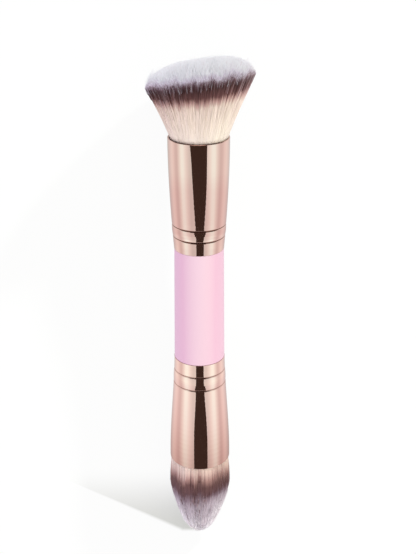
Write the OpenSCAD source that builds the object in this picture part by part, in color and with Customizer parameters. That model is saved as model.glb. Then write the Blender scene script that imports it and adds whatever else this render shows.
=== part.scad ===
// Double ended makeup brush, laid on its side on a flat surface.
// A slant-cut kabuki head sits on one end of a short lacquered barrel and a pointed head on the other.
// +Y runs along the brush towards the kabuki head, +Z is up, and the face that carries the tall side of
// the slanted cut looks up and to the right (+X). The origin is the bottom centre of the whole brush.

/* [Handle] */
// Length of the lacquered barrel between the two ferrules
barrel_len = 38.9; // [24:0.1:70]
// Barrel diameter at the kabuki end
barrel_d_kabuki = 15.9; // [13:0.1:18]
// Barrel diameter at the pointed end
barrel_d_point = 16.68; // [13:0.02:18.6]
// Small chamfer on the barrel's two end edges
barrel_edge = 0.15; // [0.05:0.05:0.5]
// How far each spigot reaches into its ferrule
spigot_len = 12; // [11:0.5:15]
// Chamfer on the free end of each spigot
spigot_edge = 0.8; // [0.2:0.1:1.5]

/* [Ferrules] */
// Wall of the drawn metal tube
wall = 0.45; // [0.3:0.05:0.6]
// How far a ferrule stands proud of the barrel that it is pressed against
ferrule_step = 0.08; // [0.05:0.01:0.4]
// Length of the kabuki ferrule
kabuki_ferrule_len = 36.4; // [26:0.1:50]
// Mouth diameter of the kabuki ferrule
kabuki_mouth_d = 19.3; // [18.4:0.1:24]
// Length of the pointed head's ferrule
point_ferrule_len = 39.1; // [28:0.1:52]
// Mouth diameter of the pointed head's ferrule
point_mouth_d = 20.6; // [19.6:0.02:25]
// How late the kabuki ferrule's flare starts: larger keeps the tube straight for longer
kabuki_ease = 0.96; // [0.9:0.02:1.6]
// How late the pointed head's ferrule starts to flare
point_ease = 1.42; // [1:0.02:1.7]
// Depth of a rolled crimp groove
groove_depth = 0.26; // [0.1:0.02:0.36]
// Width of a rolled crimp groove
groove_w = 0.7; // [0.5:0.05:1.4]
// Swell of the band between the two grooves of a ferrule
bead_h = 0.1; // [0:0.02:0.2]
// First groove of the kabuki ferrule, from the barrel
kabuki_groove_a = 4.4; // [3:0.1:5.5]
// Second groove of the kabuki ferrule, from the barrel
kabuki_groove_b = 8.3; // [7.5:0.1:10]
// First groove of the pointed head's ferrule, from the barrel
point_groove_a = 4.6; // [3:0.1:5.5]
// Second groove of the pointed head's ferrule, from the barrel
point_groove_b = 9.4; // [7.5:0.1:10.2]
// Rounding of the lip at a mouth
lip = 0.12; // [0.05:0.01:0.18]

/* [Kabuki head] */
// Width of the head at its widest line, where the dome starts
kabuki_d = 32.96; // [26:0.02:40]
// Height of that line above the ferrule's mouth, at the axis
kabuki_h = 16.6; // [12:0.1:24]
// How far the widest line is pushed over towards the tall side
kabuki_lean = 0.48; // [0:0.01:1.5]
// Sideways slope of the slanted cut, in degrees
cut_side = 8.3; // [0:0.1:14]
// Front to back slope of the slanted cut, in degrees
cut_front = 10.2; // [0:0.1:16]
// Height of the soft dome above the slanted line
dome_h = 7; // [4:0.1:10]
// Squareness of the dome across its middle
dome_square = 3.3; // [2:0.01:4]
// Squareness of the dome at its shoulder
dome_shoulder = 1.6; // [1.4:0.05:3]
// Bend of the flare from the mouth to the widest line, 1 is a straight cone
kabuki_flare = 1.1; // [1:0.02:1.6]

/* [Pointed head] */
// Length of the pointed head past its ferrule
point_len = 32.7; // [22:0.1:46]
// Diameter at the belly of the pointed head
point_belly_d = 20.9; // [19:0.1:26]
// Distance of the belly from the mouth
point_belly_at = 11.2; // [6:0.1:14]
// Fullness of the taper past the belly
point_full = 1.09; // [1:0.01:1.6]
// Roundness of the very tip
point_round = 1.94; // [1.4:0.01:2.4]
// How far the soft tip bends sideways, towards the kabuki's tall side
point_lean = 0.36; // [0:0.02:1]

/* [Hair] */
// Number of locks around the kabuki head
kabuki_locks = 27; // [12:1:30]
// Number of locks around the pointed head
point_locks = 21; // [12:1:24]
// Depth of the furrows between locks
furrow = 0.34; // [0.1:0.02:0.6]
// Unevenness of the tips
uneven = 0.45; // [0:0.05:1]
// Height of the glue plug that holds the roots in a ferrule
plug_h = 5; // [3:0.5:8]
// Air between the hair and the tube around it
hair_gap = 0.15; // [0.05:0.01:0.3]
// Air between the rigid pieces inside a ferrule
fit_gap = 0.1; // [0.05:0.01:0.2]
// How far the kabuki head flattens where it rests on the table
rest_flat = 0.35; // [0.1:0.05:0.8]

/* [Hidden] */

// Lengths h below run along the brush from the barrel's kabuki end, + towards the kabuki head.
barrel_r_k = barrel_d_kabuki / 2;
barrel_r_p = barrel_d_point / 2;
kabuki_mouth_h = kabuki_ferrule_len;
point_mouth_h = -barrel_len - point_ferrule_len;
kabuki_rim_h = kabuki_mouth_h + kabuki_h;
kabuki_r = kabuki_d / 2;
side_slope = tan(cut_side);
front_slope = tan(cut_front);

// A ferrule is described by its length, seat radius, mouth radius, two groove places and the flare's ease.
kabuki_tube = [kabuki_ferrule_len, barrel_r_k + ferrule_step, kabuki_mouth_d / 2,
               kabuki_groove_a, kabuki_groove_b, kabuki_ease];
point_tube = [point_ferrule_len, barrel_r_p + ferrule_step, point_mouth_d / 2,
              point_groove_a, point_groove_b, point_ease];

// One part in n of the way from a to b, for each of n steps, without b itself.
function steps(a, b, n) = [for (i = [0 : n - 1]) a + (b - a) * i / n];
function reversed(v) = [for (k = [len(v) - 1 : -1 : 0]) v[k]];

// Outer radius of the flare at z, without grooves.
function flare_r(t, z) = t[1] + (t[2] - t[1]) * sin(90 * pow(max(z, 0) / t[0], t[5]));

// Depth of one rolled groove at z: a smooth dip as wide as groove_w.
function dip(z, g) = abs(z - g) < groove_w / 2 ? groove_depth * (1 + cos(360 * (z - g) / groove_w)) / 2 : 0;

// Swell of the band between the two grooves.
function swell(t, z) = let (a = t[3] + groove_w / 2, b = t[4] - groove_w / 2)
    z > a && z < b ? bead_h * sin(180 * (z - a) / (b - a)) : 0;

function tube_r(t, z) = flare_r(t, z) - dip(z, t[3]) - dip(z, t[4]) + swell(t, z);
function bore_r(t, z) = tube_r(t, z) - wall;

// Stations along a ferrule, close together at its grooves.
function tube_z(t) = let (g = groove_w / 2) concat(
    steps(0, t[3] - g, 2), steps(t[3] - g, t[3] + g, 8), steps(t[3] + g, t[4] - g, 5),
    steps(t[4] - g, t[4] + g, 8), steps(t[4] + g, t[0] - lip, 16));

// A spigot slides past both grooves of its tube.
function spigot_r(t) = min(bore_r(t, 0), bore_r(t, t[3]), bore_r(t, t[4])) - fit_gap;

// Repeatable scatter between -1 and 1.
function scatter(i, j) = let (v = sin(i * 77.3 + j * 41.7 + i * j * 3.1) * 437.5) 2 * (v - floor(v)) - 1;

// Lean of the axis when the brush lies on the kabuki's widest line and the point ferrule's mouth.
point_lip_h = point_mouth_h + lip;
rest_span = kabuki_rim_h - front_slope * kabuki_r - point_lip_h;
rest_drop = kabuki_r - point_tube[2];
lean = atan(rest_drop / rest_span) - asin(rest_flat / norm([rest_span, rest_drop]));
axis_z = point_tube[2] * cos(lean) - point_lip_h * sin(lean);

// The table as seen in the brush's own frame: y can't pass it.
function table_y(h) = (axis_z + h * sin(lean)) / cos(lean);
function on_table(p) = [p[0], min(p[1], table_y(p[2])), p[2]];

// Furrow between locks: 0 on a lock's crown, up to 1 in a deep furrow. No two furrows are equally deep,
// and the locks sway a little along the hair.
function furrow_at(a, locks, j) = let (deep = 0.4 + 0.6 * abs(scatter(floor(a * locks / 360), 7)))
    deep * pow(abs(sin(a * locks / 2 + 16 * sin(j * 31 + a * 3))), 3);

// Kabuki head, in the brush's own frame: x to the tall side, y to the back, z along the hair.
k_n = kabuki_locks * 4;
k_side = 9;
k_cap = 11;
k_root_h = spigot_len + plug_h;
function rim_h(x, y) = kabuki_rim_h + side_slope * x - front_slope * y;

function k_bore_ring(h) = [for (i = [0 : k_n - 1]) let (a = 360 * i / k_n)
    (bore_r(kabuki_tube, h) - hair_gap) * [cos(a), sin(a), 0] + [0, 0, h]];

function k_side_ring(j) = let (t = j / k_side, r0 = bore_r(kabuki_tube, kabuki_mouth_h) - hair_gap)
    [for (i = [0 : k_n - 1]) let (
        a = 360 * i / k_n,
        r = r0 + (kabuki_r - r0) * pow(t, kabuki_flare) - furrow * t * furrow_at(a, kabuki_locks, j),
        x = kabuki_lean * t + r * cos(a),
        y = r * sin(a),
        top = rim_h(kabuki_lean + kabuki_r * cos(a), kabuki_r * sin(a)))
        [x, y, kabuki_mouth_h + t * (top - kabuki_mouth_h)]];

function k_cap_ring(j) = let (w = cos(90 * j / k_cap))
    [for (i = [0 : k_n - 1]) let (
        a = 360 * i / k_n,
        r = kabuki_r * w - furrow * w * w * furrow_at(a, kabuki_locks, k_side + j),
        x = kabuki_lean + r * cos(a),
        y = r * sin(a),
        crown = dome_h * pow(1 - pow(w, dome_square), 1 / dome_shoulder),
        rough = j < k_cap - 1 ? uneven * (1 - w) * scatter(floor(i / 2), j) : 0)
        [x, y, rim_h(x, y) + crown + rough]];

k_rings = concat([for (h = steps(k_root_h, kabuki_mouth_h, 3)) k_bore_ring(h)],
                 [for (j = [0 : k_side]) k_side_ring(j)],
                 [for (j = [1 : k_cap - 1]) k_cap_ring(j)]);
k_apex = [kabuki_lean, 0, rim_h(kabuki_lean, 0) + dome_h];

// Pointed head, in the same frame, with z falling away towards its tip.
p_n = point_locks * 4;
p_neck = 6;
p_taper = 18;
p_root_h = -barrel_len - spigot_len - plug_h;

function p_bore_ring(h) = [for (i = [0 : p_n - 1]) let (a = 360 * i / p_n)
    (bore_r(point_tube, -barrel_len - h) - hair_gap) * [cos(a), sin(a), 0] + [0, 0, h]];

function p_ring(r, h, depth, j, rough) = [for (i = [0 : p_n - 1]) let (
    a = 360 * i / p_n,
    q = r - depth * furrow_at(a, point_locks, j),
    x = point_lean * (point_mouth_h - h) / point_len + q * cos(a))
    [x, q * sin(a), h + rough * scatter(floor(i / 2), j)]];

function p_neck_ring(j) = let (s = sin(90 * j / p_neck), r0 = bore_r(point_tube, point_ferrule_len) - hair_gap)
    p_ring(r0 + (point_belly_d / 2 - r0) * s, point_mouth_h - point_belly_at * j / p_neck,
           furrow * s * 0.6, j, 0);

function p_taper_ring(j) = let (
    u = 1 - pow(1 - j / p_taper, 1.6),
    r = point_belly_d / 2 * pow(1 - pow(u, point_full), 1 / point_round))
    p_ring(r, point_mouth_h - point_belly_at - (point_len - point_belly_at) * u,
           min(furrow * (0.6 + u), r * 0.12), p_neck + j, uneven * 0.8 * u * min(1, r / 3));

p_rings = concat([for (h = steps(p_root_h, point_mouth_h, 3)) p_bore_ring(h)],
                 [for (j = [0 : p_neck]) p_neck_ring(j)],
                 [for (j = [1 : p_taper - 1]) p_taper_ring(j)]);
p_apex = [point_lean, 0, point_mouth_h - point_len];

// Every hair point, pressed flat where it meets the table.
k_points = [for (ring = k_rings) for (p = ring) on_table(p)];
p_points = [for (ring = p_rings) for (p = ring) on_table(p)];

// The whole brush is centred over the origin by the reach of its two heads.
function reach_y(p) = p[2] * cos(lean) + p[1] * sin(lean);
all_y = concat([for (p = k_points) reach_y(p)], [for (p = p_points) reach_y(p)], [reach_y(p_apex), reach_y(k_apex)]);
all_x = [for (p = k_points) p[0]];
origin_x = -(max(all_x) + min(all_x)) / 2;
origin_y = -(max(all_y) + min(all_y)) / 2;

// From the brush's own frame to its place on the table.
module lay() {
    translate([origin_x, origin_y, axis_z])
        rotate([lean - 90, 0, 0])
            children();
}

// A closed skin over a stack of equal rings, with a flat root and an apex. rising is false where z falls.
module skin(points, count, rings, apex, rising) {
    last = (rings - 1) * count;
    root = [[for (i = [0 : count - 1]) i]];
    side = [for (j = [0 : rings - 2]) for (i = [0 : count - 1]) let (
        a = j * count + i,
        b = j * count + (i + 1) % count,
        c = a + count,
        d = b + count)
        each [[a, c, d], [a, d, b]]];
    cap = [for (i = [0 : count - 1]) [last + i, rings * count, last + (i + 1) % count]];
    faces = concat(root, side, cap);
    polyhedron(points = concat(points, [apex]), faces = rising ? faces : [for (f = faces) reversed(f)]);
}

// Lacquered barrel, with a spigot at each end for its ferrule.
module handle_barrel() {
    rk = spigot_r(kabuki_tube);
    rp = spigot_r(point_tube);
    e = barrel_edge;
    s = spigot_edge;
    profile = [
        [0, -barrel_len - spigot_len], [rp - s, -barrel_len - spigot_len], [rp, -barrel_len - spigot_len + s],
        [rp, -barrel_len], [barrel_r_p - e, -barrel_len], [barrel_r_p, -barrel_len + e],
        [barrel_r_k, -e], [barrel_r_k - e, 0], [rk, 0],
        [rk, spigot_len - s], [rk - s, spigot_len], [0, spigot_len]];
    color("#f6cfe0")
        lay()
            rotate_extrude($fn = 96)
                polygon(profile);
}

// Flared tube with two rolled grooves, standing on its seat with the mouth up.
module ferrule(t) {
    outer = concat([for (z = tube_z(t)) [tube_r(t, z), z]], [[t[2], t[0] - lip], [t[2] - lip, t[0]]]);
    inner = concat([for (z = tube_z(t)) [bore_r(t, z), z]], [[bore_r(t, t[0]), t[0]]]);
    rotate_extrude($fn = 96)
        polygon(concat(outer, reversed(inner)));
}

// Glue plug that fills the tube between the spigot and the roots of the hair.
module root_plug(t) {
    zs = concat(steps(spigot_len, spigot_len + plug_h, 4), [spigot_len + plug_h]);
    rim = [for (z = zs) [bore_r(t, z) - fit_gap, z]];
    rotate_extrude($fn = 96)
        polygon(concat([[0, spigot_len]], rim, [[0, spigot_len + plug_h]]));
}

module kabuki_ferrule() {
    color("#e3bcae")
        lay()
            ferrule(kabuki_tube);
}

module point_ferrule() {
    color("#e3bcae")
        lay()
            translate([0, 0, -barrel_len])
                rotate([180, 0, 0])
                    ferrule(point_tube);
}

module kabuki_root_plug() {
    color("#e9dcc0")
        lay()
            root_plug(kabuki_tube);
}

module point_root_plug() {
    color("#e9dcc0")
        lay()
            translate([0, 0, -barrel_len])
                rotate([180, 0, 0])
                    root_plug(point_tube);
}

// Slant-cut kabuki head: locks fan out of the mouth and end in a soft dome.
module kabuki_hair() {
    color("#c9bfc8")
        lay()
            skin(k_points, k_n, len(k_rings), k_apex, true);
}

// Pointed head: locks swell past the mouth and close to a rounded point.
module point_hair() {
    color("#b9aab4")
        lay()
            skin(p_points, p_n, len(p_rings), p_apex, false);
}

handle_barrel();
kabuki_ferrule();
point_ferrule();
kabuki_root_plug();
point_root_plug();
kabuki_hair();
point_hair();
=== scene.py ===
import math
from collections import namedtuple

import bmesh
import bpy
import numpy as np
from mathutils import Matrix, Vector


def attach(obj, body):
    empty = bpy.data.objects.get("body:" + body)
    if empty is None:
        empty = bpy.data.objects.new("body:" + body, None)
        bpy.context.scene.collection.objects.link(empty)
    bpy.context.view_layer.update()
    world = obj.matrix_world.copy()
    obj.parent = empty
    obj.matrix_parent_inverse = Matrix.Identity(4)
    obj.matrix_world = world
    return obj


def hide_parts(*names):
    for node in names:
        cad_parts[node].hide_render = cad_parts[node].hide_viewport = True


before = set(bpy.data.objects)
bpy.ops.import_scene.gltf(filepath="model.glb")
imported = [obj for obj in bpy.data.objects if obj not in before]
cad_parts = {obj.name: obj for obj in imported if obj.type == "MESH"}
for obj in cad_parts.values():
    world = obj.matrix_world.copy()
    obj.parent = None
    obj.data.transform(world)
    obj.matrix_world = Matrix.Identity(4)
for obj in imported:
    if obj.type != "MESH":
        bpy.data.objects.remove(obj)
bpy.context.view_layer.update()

MM = 0.001

# The brush's own frame. ALONG runs from the point towards the kabuki head, OUT is the side that looks
# up at the camera, and HEART is the place on the axis where the barrel meets the kabuki ferrule.
LEAN = math.radians(2.60941)
ALONG = Vector((0, math.cos(LEAN), math.sin(LEAN)))
OUT = Vector((0, -math.sin(LEAN), math.cos(LEAN)))
RIGHT = Vector((1, 0, 0))
HEART = Vector((-0.50175, 24.6409, 13.835)) * MM

# Sizes in mm, as on the solids. A height H is a place along the brush from HEART, and R is a radius.
KABUKI_MOUTH_H, KABUKI_MOUTH_R = 36.4, 9.05
KABUKI_RIM_H, KABUKI_RIM_R = 53.0, 16.48
# The kabuki head's middle leans this far to the right on its way from the ferrule to the rim.
KABUKI_LEAN = 0.48
# Slopes of the slanted cut: it rises to the right, and towards the camera.
CUT_SIDE, CUT_FRONT = math.tan(math.radians(8.3)), math.tan(math.radians(10.2))
# The dome over the cut: its height, and the powers that flatten its top and round its shoulders.
DOME_H, DOME_SQUARE, DOME_SHOULDER = 7.0, 3.3, 1.6
POINT_MOUTH_H, POINT_MOUTH_R = -78.0, 9.7
# The pointed head: its length past the ferrule, and the place and radius of its belly.
POINT_LEN, BELLY_AT, BELLY_R = 32.7, 11.2, 10.45
# Heights of the rolled grooves of the two ferrules.
KABUKI_GROOVES, POINT_GROOVES = (8.3, 4.4), (-43.5, -48.3)

# The hair of each head hangs together in locks, and this is how many stand around its axis.
KABUKI_LOCKS, POINT_LOCKS = 34, 26

# Each head has a colour chart. Its strips are shades of fibre, and those from PALE on are pale ones.
SHADES, PALE = 64, 48
# The kabuki head's chart: u is the height above the slanted cut's plane, from 22 mm below to 10 mm above.
K_LOW, K_SPAN = -22.0, 32.0
# The pointed head's chart: u is the distance past the ferrule's mouth, from 3 mm inside to 37 mm outside.
# No fibre is dyed as if it were further out than P_TOP.
P_LOW, P_SPAN, P_TOP = -3.0, 40.0, 36

# The hair of one head: its material slot and its material, and where its chart starts and its length in mm.
Hair = namedtuple("Hair", "slot mat low span")


def srgb(code):
    """An sRGB hex value as linear red, green, blue and an alpha of 1."""
    parts = [int(code[i : i + 2], 16) / 255 for i in (1, 3, 5)]
    return [c / 12.92 if c <= 0.04045 else ((c + 0.055) / 1.055) ** 2.4 for c in parts] + [1]


def node(tree, kind, settings=None, stops=(), **links):
    """Adds a node with its settings, the (place, hex) stops of its colour ramp, and its inputs.

    An input goes by its name, or by its number after an underscore. It is linked to another node's output,
    or set to a value, and a hex value is turned into a colour."""
    made = tree.nodes.new(kind)
    for key, value in (settings or {}).items():
        setattr(made, key, value)
    while stops and len(made.color_ramp.elements) < len(stops):
        made.color_ramp.elements.new(0.5)
    for i, (place, code) in enumerate(stops):
        made.color_ramp.elements[i].position = place
        made.color_ramp.elements[i].color = srgb(code)
    for key, value in links.items():
        name = key.strip("_").replace("_", " ")
        socket = made.inputs[int(name)] if name.isdigit() else made.inputs[name]
        if isinstance(value, bpy.types.NodeSocket):
            tree.links.new(value, socket)
        else:
            socket.default_value = srgb(value) if isinstance(value, str) else value
    return made


def material(name):
    """An empty material, and its tree of nodes."""
    made = bpy.data.materials.new(name)
    made.use_nodes = True
    made.node_tree.nodes.clear()
    return made, made.node_tree


def add(name, data):
    """An object of the scene with the given data."""
    made = bpy.data.objects.new(name, data)
    bpy.context.scene.collection.objects.link(made)
    return made


def mesh_of(name, bm):
    """The finished bmesh as a mesh."""
    mesh = bpy.data.meshes.new(name)
    bm.to_mesh(mesh)
    bm.free()
    return mesh


def to_world(p):
    """Points given in mm as (right, back, along) in the brush's frame, as metres in the scene."""
    x, y, h = p[..., 0:1], p[..., 1:2], p[..., 2:3]
    q = x * np.array(RIGHT) - y * np.array(OUT) + h * np.array(ALONG)
    return q * MM + np.array(HEART)


def rim_height(x, y):
    """Height of the slanted cut's plane above the point (x, y) across the brush."""
    return KABUKI_RIM_H + CUT_SIDE * x - CUT_FRONT * y


def point_radius(s):
    """Radius of the pointed head at s mm past its ferrule."""
    neck = POINT_MOUTH_R + (BELLY_R - POINT_MOUTH_R) * np.sin(np.pi / 2 * np.clip(s / BELLY_AT, 0, 1))
    u = np.clip((s - BELLY_AT) / (POINT_LEN - BELLY_AT), 0, 1)
    return np.where(s < BELLY_AT, neck, BELLY_R * (1 - u**1.09) ** (1 / 1.94))


def chart_place(u, strip, corner):
    """Where a corner of a face or a fibre's section lies in a strip of the chart, apart from the others."""
    return u + 0.002 * corner, (strip + 0.25 + 0.25 * corner) / SHADES


def hair_piece(name, mesh, hair):
    """Makes a mesh of fibres or packed hair a piece of its head."""
    mesh.shade_smooth()
    mesh.materials.clear()
    mesh.materials.append(hair.mat)
    piece = add(name, mesh)
    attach(piece, "root")
    return piece


def fibres(name, paths, radii, chart_u, shade, hair):
    """Fine three-sided fibres swept along paths in metres, with radii in metres.

    Each fibre's map lies in one of the chart's strips: chart_u runs along it and shade picks the strip."""
    profile = bpy.data.curves.new(name + "_section", "CURVE")
    ring = profile.splines.new("POLY")
    ring.points.add(2)
    for i in range(3):
        ring.points[i].co = (math.cos(i * math.tau / 3), math.sin(i * math.tau / 3), 0, 1)
    ring.use_cyclic_u = True
    section = add(name + "_section", profile)
    curve = bpy.data.curves.new(name, "CURVE")
    curve.dimensions = "3D"
    curve.bevel_mode = "OBJECT"
    curve.bevel_object = section
    count, length = radii.shape
    flat = np.concatenate([paths, np.ones((count, length, 1))], axis=2).astype(np.float32)
    for path, radius in zip(flat, radii.astype(np.float32)):
        spline = curve.splines.new("POLY")
        spline.points.add(length - 1)
        spline.points.foreach_set("co", path.ravel())
        spline.points.foreach_set("radius", radius)
    swept = add(name + "_swept", curve)
    mesh = bpy.data.meshes.new_from_object(swept.evaluated_get(bpy.context.evaluated_depsgraph_get()))
    for gone in (swept, section):
        bpy.data.objects.remove(gone)
    bm = bmesh.new()
    bm.from_mesh(mesh)
    bmesh.ops.holes_fill(bm, edges=[e for e in bm.edges if e.is_boundary], sides=3)
    bmesh.ops.recalc_face_normals(bm, faces=bm.faces)
    bm.to_mesh(mesh)
    bm.free()
    while mesh.uv_layers:
        mesh.uv_layers.remove(mesh.uv_layers[0])
    chart = mesh.uv_layers.new(name="OFBake")
    vertex = np.zeros(len(mesh.loops), np.int32)
    mesh.loops.foreach_get("vertex_index", vertex)
    fibre, ring_at, corner = vertex // (length * 3), vertex // 3 % length, vertex % 3
    place = chart_place(chart_u[fibre, ring_at], shade[fibre], corner)
    chart.uv.foreach_set("vector", np.stack(place, axis=1).astype(np.float32).ravel())
    return hair_piece(name, mesh, hair)


def core(name, cad_node, shrink, end_way, dye_at, hair):
    """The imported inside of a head: the solid drawn in by shrink mm, and sunk under the ends of the fibres.

    end_way is the way that the ends of the fibres point, and dye_at gives a point's place in the dye."""
    sink = 1.6
    bm = bmesh.new()
    bm.from_mesh(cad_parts[cad_node].data)
    bmesh.ops.remove_doubles(bm, verts=bm.verts, dist=1e-6)
    bm.normal_update()
    for v, normal in [(v, v.normal.copy()) for v in bm.verts]:
        v.co -= (normal * shrink + end_way * max(0, normal.dot(end_way)) * sink) * MM
    chart = bm.loops.layers.uv.new("OFBake")
    for face in bm.faces:
        middle = face.calc_center_median() - HEART
        # A lock is 6 degrees wide here, and locks side by side have strips that are far apart.
        lock = int(math.atan2(middle.dot(RIGHT), middle.dot(OUT)) * 9.7 + 40)
        for corner, loop in enumerate(face.loops):
            p = loop.vert.co - HEART
            dye = dye_at(p.dot(RIGHT) / MM, -p.dot(OUT) / MM, p.dot(ALONG) / MM)
            loop[chart].uv = chart_place((dye - hair.low) / hair.span, lock * 37 % SHADES, corner)
    return hair_piece(name, mesh_of(name, bm), hair)


def dyed_hair(slot, low, span, spread, bright, paleness, stops):
    """Synthetic hair: drawn nylon fibre, dyed in bands, a soft sheen and no hard highlight.

    The chart's u is the place along the fibre, over span mm from low, and its strip gives the fibre's own
    shade. The dye's stops are (mm, hex). Each fibre's bands are shifted by up to spread mm, because no two
    were dyed at quite the same place. bright is the range of the fibres' brightness, and paleness how far
    the pale strips are paled. Pale strips give fibres a random paler tone, and where a head puts them at
    its left and right sides they are painted rim light."""
    made, tree = material(slot + "_dyed_nylon")
    uv = node(tree, "ShaderNodeUVMap", {"uv_map": "OFBake"})
    chart = node(tree, "ShaderNodeSeparateXYZ", Vector=uv.outputs["UV"])
    strip = node(tree, "ShaderNodeMath", {"operation": "MULTIPLY"}, _0=chart.outputs["Y"], _1=SHADES)
    strip = node(tree, "ShaderNodeMath", {"operation": "FLOOR"}, _0=strip.outputs[0]).outputs[0]
    chance = node(tree, "ShaderNodeTexWhiteNoise", {"noise_dimensions": "1D"}, W=strip)
    other = node(tree, "ShaderNodeMath", {"operation": "ADD"}, _0=strip, _1=91.5)
    other = node(tree, "ShaderNodeTexWhiteNoise", {"noise_dimensions": "1D"}, W=other.outputs[0])
    shift = node(tree, "ShaderNodeMapRange", Value=chance.outputs["Value"],
                 _3=-spread / span, _4=spread / span)
    place = node(tree, "ShaderNodeMath", {"operation": "ADD"}, _0=chart.outputs["X"], _1=shift.outputs[0])
    bands = [((mm - low) / span, code) for mm, code in stops]
    dyed = node(tree, "ShaderNodeValToRGB", stops=bands, Fac=place.outputs[0])
    pale = node(tree, "ShaderNodeMapRange", Value=strip, _1=PALE - 1.0, _2=SHADES - 1.0, _3=0.0, _4=paleness)
    mix = node(tree, "ShaderNodeMix", {"data_type": "RGBA"}, Factor=pale.outputs[0],
               _6=dyed.outputs["Color"], _7="#dcc4c8")
    light = node(tree, "ShaderNodeMapRange", Value=other.outputs["Value"], _3=bright[0], _4=bright[1])
    shade = node(tree, "ShaderNodeVectorMath", {"operation": "SCALE"}, _0=mix.outputs[2],
                 Scale=light.outputs[0])
    skin = node(tree, "ShaderNodeBsdfPrincipled", Base_Color=shade.outputs[0], Roughness=0.55,
                Specular_IOR_Level=0.25)
    node(tree, "ShaderNodeOutputMaterial", Surface=skin.outputs[0])
    return Hair(slot, made, low, span)


def k_dye(x, above):
    """Place in the kabuki head's dye of a point above the cut plane.

    The bands ride higher on the tall side and are narrower on the short one. The pale ends start a little
    sooner on the tall side, and there they are held a little greyer, which is painted shade on the dome."""
    uneven = 0.25 * np.sin(1.1 * x) + 0.2 * np.sin(2.3 * x + 1)
    sooner = np.clip(0.08 * x, 0, 0.9) * np.clip(1 - np.abs(above) / 2.5, 0, 1)
    tilt = np.where(x > 0, -0.03 * x, 0.015 * x - 0.016 * x * np.minimum(above, 0))
    # Painted shade: towards the right the dome's pale ends are capped greyer.
    palest_in_shade = 4.2 - 0.14 * np.maximum(x - 3, 0)
    return np.minimum(above + 0.1 + uneven + tilt + sooner, palest_in_shade)


def p_dye(x, y, s):
    """Place in the pointed head's dye of a point s mm past the ferrule.

    The dark band starts sooner right of the middle and later on the left. It ends sooner on the right, and
    the pale end starts sooner at both sides, which is painted rim light along the head's outline."""
    turn = np.arctan2(y, x)
    uneven = 0.4 * np.sin(7 * turn + 1) + 0.35 * np.sin(13 * turn + 2.1)
    right = np.minimum(1.1 * np.maximum(x, 0), 4.0)
    right = right * np.clip((s - 9) / 4, 0, 1) * np.clip((26 - s) / 8, 0, 1)
    # Painted rim light: the pale end comes sooner towards the head's left and right sides.
    sides = 5 * np.clip((s - 14) / 4, 0, 1) * (x / np.maximum(point_radius(s), 2)) ** 2
    root = 1.4 * np.sin(np.pi * np.clip((x - 1) / 7, 0, 1)) - 0.12 * np.maximum(-x, 0)
    return s + uneven + right + sides + root * np.clip((9 - s) / 4, 0, 1)


def kabuki_paths(count, rho, start, rings, seed, wander, fray, turn=None):
    """Fibres of the kabuki head, each from the fraction start of its way to its tip on the dome.

    rho is a tip's place from the axis, 0, to the rim, 1, and turn its angle, which is random if not given.
    The fibres stray by wander radians round the axis and by fray mm in height."""
    pick = np.random.default_rng(seed)
    if turn is None:
        turn = pick.uniform(0, math.tau, count)
    locks = np.round(turn * KABUKI_LOCKS / math.tau + 0.3 * np.sin(turn * 5)) * math.tau / KABUKI_LOCKS
    drift = (locks - turn) * pick.uniform(0.0, 12 * wander, count) + pick.normal(0, wander, count)
    t = start + (1 - start) * np.linspace(0, 1, rings)
    angle = turn[:, None] + drift[:, None] * t
    reach = KABUKI_MOUTH_R + (KABUKI_RIM_R - KABUKI_MOUTH_R) * np.abs(t) ** 1.1 * np.sign(t)
    inner = rho[:, None] * (1 + pick.normal(0, 0.012, count)[:, None] * t)
    r = np.minimum(inner, 1.012) * reach
    x, y = KABUKI_LEAN * t + r * np.cos(angle), r * np.sin(angle)
    crown = DOME_H * (1 - np.clip(rho, 0, 1) ** DOME_SQUARE) ** (1 / DOME_SHOULDER)
    fuzz = pick.normal(0, fray, count)
    tip = rim_height(x[:, -1:], y[:, -1:]) + (crown + fuzz)[:, None]
    h = KABUKI_MOUTH_H + t * (tip - KABUKI_MOUTH_H)
    return np.stack([x, y, h], axis=2), k_dye(x, h - rim_height(x, y))


def point_paths(count, rho, start, end, rings, seed, wander, sink):
    """Fibres of the pointed head, from start to end in mm past the ferrule.

    rho is their place from the axis, 0, to the head's outside, 1. They start sunk among others by the part
    sink of that, and stray by wander radians round the axis."""
    pick = np.random.default_rng(seed)
    turn = pick.uniform(0, math.tau, count)
    locks = np.round(turn * POINT_LOCKS / math.tau + 0.35 * np.sin(turn * 4)) * math.tau / POINT_LOCKS
    drift = (locks - turn) * pick.uniform(0, 0.6, count) + pick.normal(0, wander, count)
    w = np.linspace(0, 1, rings)
    s = start[:, None] + (end - start)[:, None] * w
    bend = np.clip(s / POINT_LEN, 0, 1)
    angle = turn[:, None] + drift[:, None] * bend**1.5
    r = (rho[:, None] - sink * (1 - w) ** 2) * point_radius(np.clip(s, 0, POINT_LEN))
    r = r * (1 - 0.25 * bend**12) + 0.05
    sway = pick.normal(0, 0.4, (count, 2))
    # The head bows a little to the right, and its tip turns back to the left.
    x = r * np.cos(angle) + sway[:, :1] * bend**3 + 0.2 * bend - 0.55 * bend**3
    y = r * np.sin(angle) + sway[:, 1:] * bend**3
    return np.stack([x, y, POINT_MOUTH_H - s], axis=2), np.minimum(p_dye(x, y, s), P_TOP)


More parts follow.
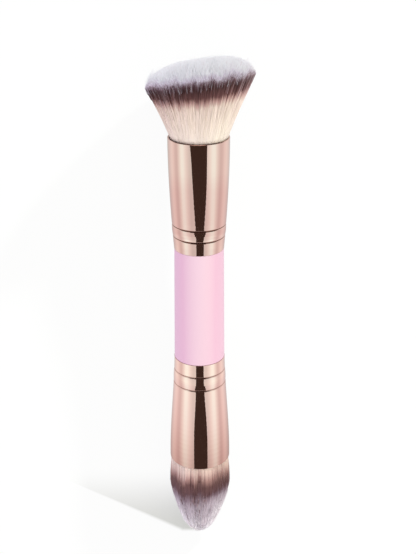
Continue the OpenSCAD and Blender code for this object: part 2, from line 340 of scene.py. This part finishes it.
def grow(name, points, dye, thick, thin, last, hair, seed, pale, locks=60):
    """Makes a piece of fibres along points in mm, with their places in the dye. Most of a lock share a shade.

    Their radius is thick mm, and over the last part of their way they are drawn to a tip of thin mm. pale is
    each fibre's chance to be a pale one, and locks the number of locks around the head that share a shade."""
    way = np.clip((np.linspace(0, 1, points.shape[1]) - (1 - last)) / last, 0, 1)
    radii = np.tile((thick + (thin - thick) * way**1.5) * MM, (len(points), 1))
    pick = np.random.default_rng(seed)
    shade = np.round(np.arctan2(points[:, 0, 1], points[:, 0, 0]) * locks / math.tau).astype(int) % PALE
    shade = np.where(pick.uniform(0, 1, len(points)) < 0.6, shade, pick.integers(0, PALE, len(points)))
    shade = np.where(pick.uniform(0, 1, len(points)) < pale, pick.integers(PALE, SHADES, len(points)), shade)
    # Fibres that meet the table bend along it.
    paths = to_world(points)
    paths[..., 2] = np.maximum(paths[..., 2], radii * 1.02)
    return fibres(name, paths, radii, (dye - hair.low) / hair.span, shade, hair)


def kabuki_head(pick, hair):
    """The kabuki head: long fibres round its flank, a dome of short ends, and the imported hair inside."""
    # Long fibres of the head's flank, from inside the ferrule to the widest line. They lie less evenly on
    # the left, and more of them are pale at both sides, which is painted rim light along the outline.
    count = 4400
    turn = pick.uniform(0, math.tau, count)
    left = np.maximum(-np.cos(turn), 0) ** 2
    rho = 1 - 0.012 * left - np.abs(pick.normal(0, 1, count)) * (0.012 + 0.024 * left)
    points, dye = kabuki_paths(count, np.maximum(rho, 0.9), -0.05, 8, 12, 0.03, 0.1, turn)
    side = points[:, -1, 0]
    # Painted rim light: the chance of a pale fibre grows towards the left and right sides.
    pale = np.clip(np.where(side < 0, (-side - 5) / 11, (side - 12.5) / 4), 0, 0.8)
    flank = grow("kabuki_flank_hair", points, dye, 0.095, 0.04, 0.3, hair, 13, pale, 90)
    # Short ends of the fibres that make up the dome.
    count = 13500
    rho = np.sqrt(pick.uniform(0, 1, count)) * 0.999
    points, dye = kabuki_paths(count, rho, 0.78, 3, 14, 0.01, 0.15)
    grow("kabuki_dome_hair", points, dye, 0.15, 0.035, 0.7, hair, 15, 0.1)
    # The finest tips stand out a little all over the dome.
    count = 9000
    rho = np.sqrt(pick.uniform(0, 1, count))
    points, dye = kabuki_paths(count, rho, 0.88, 2, 16, 0.01, 0.35)
    grow("kabuki_fine_tips", points, dye + 2.5, 0.055, 0.015, 1.0, hair, 17, 0.1)
    # Where the slanted cut ends at either side, loose tips stand up to 2.5 mm above the dome.
    count, rings = 1000, 4
    turn = np.where(pick.uniform(0, 1, count) < 0.45, 0, math.pi) + pick.normal(0, 0.32, count)
    rho = 1.0 - 0.14 * pick.uniform(0, 1, count)
    points, dye = kabuki_paths(count, rho, 0.88, rings, 18, 0.02, 0.2, turn)
    highest = np.where(points[:, -1, 0] < 0, 2.5, 2.0) * pick.uniform(0, 1, count)
    rise = np.linspace(0, 1, rings) ** 2
    lift = highest[:, None] * rise
    points[:, :, 2] += lift
    points[:, 0, :2] *= 0.96
    grow("kabuki_side_wisps", points, dye + lift + 1.8 * rise, 0.03, 0.01, 0.8, hair, 19, 0.1)
    core("kabuki_packed_hair", "kabuki_hair", 0.45, ALONG,
         lambda x, y, h: k_dye(x, h - rim_height(x, y)), hair)
    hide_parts("kabuki_hair")


def point_head(pick, hair):
    """The pointed head: long fibres, shorter ones that mottle it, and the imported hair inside."""
    # Long fibres from inside the ferrule, which end here and there over the last half of the head.
    count = 3600
    rho = np.clip(1 - np.abs(pick.normal(0, 0.05, count)), 0.8, 0.995)
    ends = POINT_LEN * (1 - 0.45 * pick.uniform(0, 1, count) ** 2.2) - np.abs(pick.normal(0, 0.6, count))
    points, dye = point_paths(count, rho, np.full(count, -1.5), ends, 9, 22, 0.09, 0.0)
    # Painted rim light: fibres at the head's left and right sides are more often pale.
    rim_lit_sides = (points[:, 5, 0] / BELLY_R) ** 4
    long_hair = grow("point_long_hair", points, dye, 0.15, 0.05, 0.35, hair, 23, 0.5 * rim_lit_sides, 44)
    # Shorter fibres end all over the pointed head, so dark and pale stretches mottle it.
    count = 5200
    rho = np.clip(1.01 - np.abs(pick.normal(0, 0.03, count)), 0.85, 1.01)
    ends = 14 + (POINT_LEN - 14.4) * pick.uniform(0, 1, count) ** 0.8 - np.abs(pick.normal(0, 0.5, count))
    starts = ends - pick.uniform(4, 9, count)
    points, dye = point_paths(count, rho, starts, ends, 5, 24, 0.2, 0.1)
    # A fibre's chance of a dark stretch goes by patches. It is less at the sides of the head, and least on
    # the right, near the ferrule.
    right, turn = points[:, 2, 0], np.arctan2(points[:, 2, 1], points[:, 2, 0])
    patch = 0.45 + 0.5 * np.sin(9 * turn + 0.5 * ends) * np.sin(5 * turn - 0.4 * ends + 1.3)
    patch -= 0.15 * np.cos(2 * turn) + 0.5 * np.clip(right / 4, 0, 1) * np.clip((22 - ends) / 5, 0, 1)
    patch -= 0.35 * np.clip(-right / 6, 0, 1)
    dark = pick.uniform(0, 1, count) < patch
    late = np.where(dark, -pick.uniform(4, 11, count), pick.uniform(-1, 3, count))
    late = late * (1 - (ends / POINT_LEN) ** 7)
    dye = np.clip(dye + late[:, None] * np.clip((dye - 8) / 4, 0, 1), 0, P_TOP)
    grow("point_tip_hair", points, dye, 0.14, 0.04, 0.6, hair, 25, 0.3, 40)
    # The finest tips stand out a little around the head's end.
    count = 1800
    ends = 17 + (POINT_LEN - 17) * pick.uniform(0, 1, count) ** 0.7
    rho = 1.0 + np.abs(pick.normal(0, 0.025, count))
    points, dye = point_paths(count, rho, ends - 5, ends, 4, 26, 0.2, 0.03)
    grow("point_fine_tips", points, np.minimum(dye + 4, P_TOP), 0.04, 0.012, 0.8, hair, 27, 0.3)
    core("point_packed_hair", "point_hair", 0.6, -ALONG,
         lambda x, y, h: p_dye(x, y, POINT_MOUTH_H - h), hair)
    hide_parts("point_hair")


def metal_material():
    """Rose gold anodised aluminium: drawn, polished and dyed, with painted shade darkening the rolled
    grooves.
    """
    made, tree = material("rose_gold_anodised_aluminium")
    here = node(tree, "ShaderNodeTexCoord").outputs["Object"]
    here = node(tree, "ShaderNodeVectorMath", {"operation": "SUBTRACT"}, _0=here, _1=HEART)
    along = node(tree, "ShaderNodeVectorMath", {"operation": "DOT_PRODUCT"}, _0=here.outputs[0], _1=ALONG)
    # Painted shade in the rolled grooves: how unshaded the metal's colour is, least in a groove's middle, 1
    # from 0.26 mm beside it.
    unshaded = 1.0
    for place, least in [(h, 0.0) for h in KABUKI_GROOVES] + [(h, 0.45) for h in POINT_GROOVES]:
        off = node(tree, "ShaderNodeMath", {"operation": "SUBTRACT"}, _0=along.outputs["Value"],
                   _1=place * MM)
        off = node(tree, "ShaderNodeMath", {"operation": "ABSOLUTE"}, _0=off.outputs[0]).outputs[0]
        off = node(tree, "ShaderNodeMapRange", Value=off, _1=0.08 * MM, _2=0.26 * MM, _3=least).outputs[0]
        unshaded = node(tree, "ShaderNodeMath", {"operation": "MINIMUM"}, _0=unshaded, _1=off).outputs[0]
    # The tint runs from the painted groove shade to the metal's own rose gold.
    tint = node(tree, "ShaderNodeValToRGB", stops=[(0.0, "#8a5f55"), (1.0, "#e7c1b8")], Fac=unshaded)
    skin = node(tree, "ShaderNodeBsdfPrincipled", Base_Color=tint.outputs["Color"], Metallic=1.0,
                Roughness=0.05)
    node(tree, "ShaderNodeOutputMaterial", Surface=skin.outputs[0])
    return made


def lacquer_material():
    """Pink pearlescent lacquer sprayed over moulded ABS, satin, and a little deeper where it turns away.
    The deepening is partly the lacquer's own flop, and partly painted shade at the edges.
    """
    made, tree = material("pink_lacquered_abs")
    facing = node(tree, "ShaderNodeLayerWeight", Blend=0.5).outputs["Facing"]
    # Partly the lacquer's flop and partly painted shade: the colour deepens where the barrel turns away.
    flop_and_edge_shade = node(tree, "ShaderNodeValToRGB", Fac=facing, stops=[
        (0.0, "#e2cbd4"), (0.12, "#dfc3cd"), (0.31, "#dbb5c7"), (0.8, "#dcb9cc")])
    skin = node(tree, "ShaderNodeBsdfPrincipled", Base_Color=flop_and_edge_shade.outputs["Color"], Roughness=0.5,
                Specular_IOR_Level=0.15)
    node(tree, "ShaderNodeOutputMaterial", Surface=skin.outputs[0])
    return made


def glue_material():
    """Cast epoxy that holds the hair roots: pale amber, smooth and dull."""
    made, tree = material("cast_epoxy_glue")
    skin = node(tree, "ShaderNodeBsdfPrincipled", Base_Color="#e6d7b4", Roughness=0.45)
    node(tree, "ShaderNodeOutputMaterial", Surface=skin.outputs[0])
    return made


def dress(mat, *cad_nodes):
    """Gives CAD nodes the one material of their pieces."""
    for cad_node in cad_nodes:
        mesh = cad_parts[cad_node].data
        mesh.materials.clear()
        mesh.materials.append(mat)


def studio():
    """A white studio with a soft light: strongest past the brush's ends, warm on the right, lilac on the
    left. Polished metal mirrors the light tent in it. Past the tent's open ends it mirrors a dim room on the
    kabuki head's side, and a lighter one on the other."""
    world = bpy.data.worlds.new("studio")
    bpy.context.scene.world = world
    world.use_nodes = True
    tree = world.node_tree
    tree.nodes.clear()
    way = node(tree, "ShaderNodeTexCoord").outputs["Generated"]
    right, along = [
        node(tree, "ShaderNodeVectorMath", {"operation": "DOT_PRODUCT"}, _0=way, _1=axis).outputs["Value"]
        for axis in (RIGHT, ALONG)]
    warm = node(tree, "ShaderNodeMapRange", {"interpolation_type": "SMOOTHSTEP"}, Value=right,
                _1=-0.9, _2=0.7)
    tone = node(tree, "ShaderNodeMix", {"data_type": "RGBA"}, Factor=warm.outputs[0],
                _6="#e4daee", _7="#fffaf2")
    ends = node(tree, "ShaderNodeMath", {"operation": "ABSOLUTE"}, _0=along)
    power = node(tree, "ShaderNodeMapRange", Value=ends.outputs[0], _1=0.2, _2=0.95, _3=0.95, _4=2.2)
    soft = node(tree, "ShaderNodeBackground", Color=tone.outputs[2], Strength=power.outputs[0])
    ahead = node(tree, "ShaderNodeMapRange", Value=along, _1=-0.7, _2=-0.4)
    room = node(tree, "ShaderNodeMix", {"data_type": "RGBA"}, Factor=ahead.outputs[0],
                _6="#e2dad6", _7="#5a4742")
    mirrored = node(tree, "ShaderNodeBackground", Color=room.outputs[2], Strength=1.0)
    white = node(tree, "ShaderNodeBackground", Color=(1, 1, 1, 1), Strength=1.0)
    ray = node(tree, "ShaderNodeLightPath").outputs
    seen = node(tree, "ShaderNodeMixShader", _0=ray["Is Glossy Ray"], _1=soft.outputs[0],
                _2=mirrored.outputs[0])
    seen = node(tree, "ShaderNodeMixShader", _0=ray["Is Camera Ray"], _1=seen.outputs[0], _2=white.outputs[0])
    node(tree, "ShaderNodeOutputWorld", Surface=seen.outputs[0])


def only_mirrors_see(thing):
    """Hides a thing of the studio from all but mirrors."""
    for ray in ("camera", "diffuse", "transmission", "shadow"):
        setattr(thing, "visible_" + ray, False)


def light_tent():
    """An open tube of white cloth around the brush, 110 mm from its axis. Only mirrors see it, as the soft
    bands on the metal. It is lit unevenly: by its turn about the brush, and by its place along it."""
    radius, length, middle = 0.11, 0.56, HEART - ALONG * 0.08
    bm = bmesh.new()
    bmesh.ops.create_cone(bm, segments=72, radius1=radius, radius2=radius, depth=length)
    lay = Matrix((RIGHT, ALONG.cross(RIGHT), ALONG)).transposed().to_4x4()
    bmesh.ops.transform(bm, matrix=Matrix.Translation(middle) @ lay, verts=bm.verts)
    made, tree = material("lit_tent_cloth")
    here = node(tree, "ShaderNodeTexCoord").outputs["Object"]
    here = node(tree, "ShaderNodeVectorMath", {"operation": "SUBTRACT"}, _0=here, _1=HEART).outputs[0]
    # The cloth hangs a little askew.
    right, out, along = [
        node(tree, "ShaderNodeVectorMath", {"operation": "DOT_PRODUCT"}, _0=here, _1=axis).outputs["Value"]
        for axis in (RIGHT + ALONG * 0.15, OUT, ALONG)]
    # Turn about the brush: 0 straight out, 1 straight behind. The stops are in degrees.
    side = node(tree, "ShaderNodeMath", {"operation": "ADD"}, _0=right, _1=0.011)
    turn = node(tree, "ShaderNodeMath", {"operation": "ARCTAN2"}, _0=side.outputs[0], _1=out)
    turn = node(tree, "ShaderNodeMath", {"operation": "ABSOLUTE"}, _0=turn.outputs[0])
    turn = node(tree, "ShaderNodeMath", {"operation": "DIVIDE"}, _0=turn.outputs[0], _1=math.pi)
    around = [(28, "#ced2d2"), (38, "#dde0e0"), (46, "#e7f0ef"), (54, "#ecfffe"), (63, "#ecfffd"),
              (70, "#e5ebea"), (78, "#d8d6d6"), (86, "#cdc5c6"), (95, "#d2cacb"), (105, "#e0d9da"),
              (117, "#e2dfdf"), (128, "#d9d4d5"), (140, "#ccc7c9"), (156, "#c1bbbb"), (180, "#a49b99")]
    bands = node(tree, "ShaderNodeValToRGB", Fac=turn.outputs[0],
                 stops=[(degrees / 180, code) for degrees, code in around])
    # Place along the brush, from low to high. The stops are in mm from HEART.
    low, high = -250, 150
    place = node(tree, "ShaderNodeMapRange", Value=along, _1=low * MM, _2=high * MM)
    lengthways = [(-235, "#b4a8a2"), (-205, "#b0a39c"), (-150, "#cbc3be"), (-138, "#d5ceca"),
                  (-126, "#dfdcd8"), (-112, "#eaeae8"), (-101, "#eef2f0"), (-93, "#f1f7f3"),
                  (-88, "#f6fff9"), (-74, "#eff8f5"), (-61, "#dfe1e0"), (-52, "#e8ede9"),
                  (-42, "#dfdddb"), (-21, "#e0e0de"), (-10, "#e6efeb"), (90, "#e7f0ec"), (125, "#4a3a36")]
    strips = node(tree, "ShaderNodeValToRGB", Fac=place.outputs[0],
                  stops=[((mm - low) / (high - low), code) for mm, code in lengthways])
    both = node(tree, "ShaderNodeMix", {"data_type": "RGBA", "blend_type": "MULTIPLY"}, Factor=1.0,
                _6=bands.outputs["Color"], _7=strips.outputs["Color"])
    glow = node(tree, "ShaderNodeEmission", Color=both.outputs[2], Strength=1.66)
    node(tree, "ShaderNodeOutputMaterial", Surface=glow.outputs[0])
    made.cycles.emission_sampling = "NONE"
    mesh = mesh_of("light_tent", bm)
    mesh.materials.append(made)
    only_mirrors_see(add("light_tent", mesh))


def dark_card():
    """A dark card with a waist, 80 mm above the brush. Only mirrors see it, as the stripe on the metal."""
    over = 80
    # Rows of the card: the height along the brush, and how far it reaches to the left and to the right.
    outline = [(100, 50, 46), (30, 58, 46), (14, 62, 46), (12.5, 58, 46), (11, 45, 46), (7, 40.5, 45.5),
               (2, 37, 45.5), (-5, 34.5, 45), (-11, 31, 44), (-18, 27.5, 41.5), (-26, 22.5, 36.5),
               (-31, 18.5, 32), (-42, 16.5, 31), (-55, 18, 31), (-65, 20, 26), (-76, 20.5, 25),
               (-83, 22, 29.5), (-88, 25, 34), (-93, 28, 38), (-100, 30, 41.5), (-108, 30, 43.5),
               (-145, 30, 44)]
    bm = bmesh.new()
    rows = []
    for along, left, right in outline:
        middle = HEART + (OUT * over + ALONG * along) * MM
        rows.append([bm.verts.new(middle + RIGHT * side * MM) for side in (-left, right)])
    for (a, b), (c, d) in zip(rows, rows[1:]):
        bm.faces.new((a, b, d, c))
    made, tree = material("dark_card_board")
    glow = node(tree, "ShaderNodeEmission", Color="#40342d", Strength=1.0)
    node(tree, "ShaderNodeOutputMaterial", Surface=glow.outputs[0])
    mesh = mesh_of("dark_card", bm)
    mesh.materials.append(made)
    only_mirrors_see(add("dark_card", mesh))


def floor():
    """A wide light table, lit from below to near white. It shows the shadow best at the lower left."""
    bm = bmesh.new()
    bmesh.ops.create_grid(bm, x_segments=1, y_segments=1, size=3.0)
    made, tree = material("white_acrylic_light_table")
    here = node(tree, "ShaderNodeTexCoord").outputs["Object"]
    # The light from below leaves out a wedge at the lower left, where the pointed head's shadow falls. Past
    # each side of the wedge it rises softly, from low to high metres that way.
    sides = [((0, 1, 0), -0.093, -0.065), ((-0.468, -0.884, 0), 0.0842, 0.0862),
             ((0, -1, 0), 0.0916, 0.0936), ((-1, 0, 0), 0.03, 0.06), ((1, 0, 0), -0.002, 0.003)]
    lit = 0.0
    for way, low, high in sides:
        off = node(tree, "ShaderNodeVectorMath", {"operation": "DOT_PRODUCT"}, _0=here, _1=way)
        rise = node(tree, "ShaderNodeMapRange", {"interpolation_type": "SMOOTHSTEP"},
                    Value=off.outputs["Value"], _1=low, _2=high, _3=0.0, _4=0.94)
        lit = node(tree, "ShaderNodeMath", {"operation": "MAXIMUM"}, _0=lit, _1=rise.outputs[0]).outputs[0]
    top = node(tree, "ShaderNodeBsdfDiffuse", Color="#c5cbc4")
    glow = node(tree, "ShaderNodeEmission", Color=(1, 1, 1, 1), Strength=1.0)
    both = node(tree, "ShaderNodeMixShader", _0=lit, _1=top.outputs[0], _2=glow.outputs[0])
    node(tree, "ShaderNodeOutputMaterial", Surface=both.outputs[0])
    mesh = mesh_of("table", bm)
    mesh.materials.append(made)
    table = add("table", mesh)
    table.visible_glossy = False
    return table


def light(name, kind, power, place):
    """A light turned so that it shines on the brush from the given place."""
    data = bpy.data.lights.new(name, kind)
    data.energy = power
    made = add(name, data)
    made.rotation_mode = "QUATERNION"
    made.rotation_quaternion = Vector(place).to_track_quat("Z", "Y")
    return made


def key_softbox():
    """A square softbox with slightly warm light, high on the right. Metal doesn't mirror it."""
    place = (0.45, -0.1, 0.35)
    made = light("key_softbox", "AREA", 0.42, place)
    made.location = place
    made.data.shape = "SQUARE"
    made.data.size = 0.4
    made.data.color = (1.0, 0.97, 0.94)
    made.visible_glossy = False


def low_sun(table):
    """A low sun that lights only the table, so the shadow of the brush falls to the left on it."""
    made = light("low_sun", "SUN", 7.2, (0.64, 0.71, 0.3))
    made.data.angle = math.radians(4)
    lit = bpy.data.collections.new("lit_by_low_sun")
    lit.objects.link(table)
    made.light_linking.receiver_collection = lit


def shadow_flag():
    """A low flag under the pointed head's tip. It keeps the low sun from shining through beneath the tip."""
    bm = bmesh.new()
    corners = [(-0.0005, y, z) for y, z in ((-0.098, 0), (-0.08, 0), (-0.08, 0.007), (-0.098, 0.007))]
    bm.faces.new([bm.verts.new(c) for c in corners])
    flag = add("shadow_flag", mesh_of("shadow_flag", bm))
    for ray in ("camera", "diffuse", "glossy", "transmission"):
        setattr(flag, "visible_" + ray, False)


def camera():
    """A camera 30 cm above the brush, past its kabuki head, that looks back down at its middle."""
    pitch = math.radians(23.65)
    back = OUT * math.cos(pitch) + ALONG * math.sin(pitch)
    up = ALONG * math.cos(pitch) - OUT * math.sin(pitch)
    place = HEART + (OUT * 300 + ALONG * 120.8 + RIGHT * 2.85) * MM
    data = bpy.data.cameras.new("product_camera")
    data.lens = 65.51
    data.sensor_width = 36
    data.clip_start = 0.01
    cam = add("product_camera", data)
    cam.matrix_world = Matrix.Translation(place) @ Matrix((RIGHT, up, back)).transposed().to_4x4()
    bpy.context.scene.camera = cam


kabuki_hair = dyed_hair("kabuki_fibre", K_LOW, K_SPAN, 0.9, (0.95, 1.03), 0.42, [
    (-17, "#f6eddd"), (-7.4, "#efe1d2"), (-5.6, "#c39f96"), (-4.3, "#744e4b"), (-1.2, "#523636"),
    (0.1, "#7e626a"), (1.3, "#dfd9e7"), (3.0, "#f8fcff")])
point_hair = dyed_hair("point_fibre", P_LOW, P_SPAN, 1.6, (0.84, 1.03), 0.4, [
    (0, "#f3e0d2"), (2.4, "#dec4b8"), (4.6, "#b18c84"), (6.8, "#70504d"), (10.8, "#684a4d"),
    (13.8, "#8f7c86"), (18, "#bfb4bd"), (22, "#cfc6ce"), (26, "#e4dfe4"), (30, "#fbf9fc")])
pick = np.random.default_rng(11)
kabuki_head(pick, kabuki_hair)
point_head(pick, point_hair)
dress(metal_material(), "kabuki_ferrule", "point_ferrule")
dress(lacquer_material(), "handle_barrel")
dress(glue_material(), "kabuki_root_plug", "point_root_plug")
studio()
light_tent()
dark_card()
low_sun(floor())
shadow_flag()
key_softbox()
camera()
bpy.context.scene.view_settings.view_transform = "Standard"
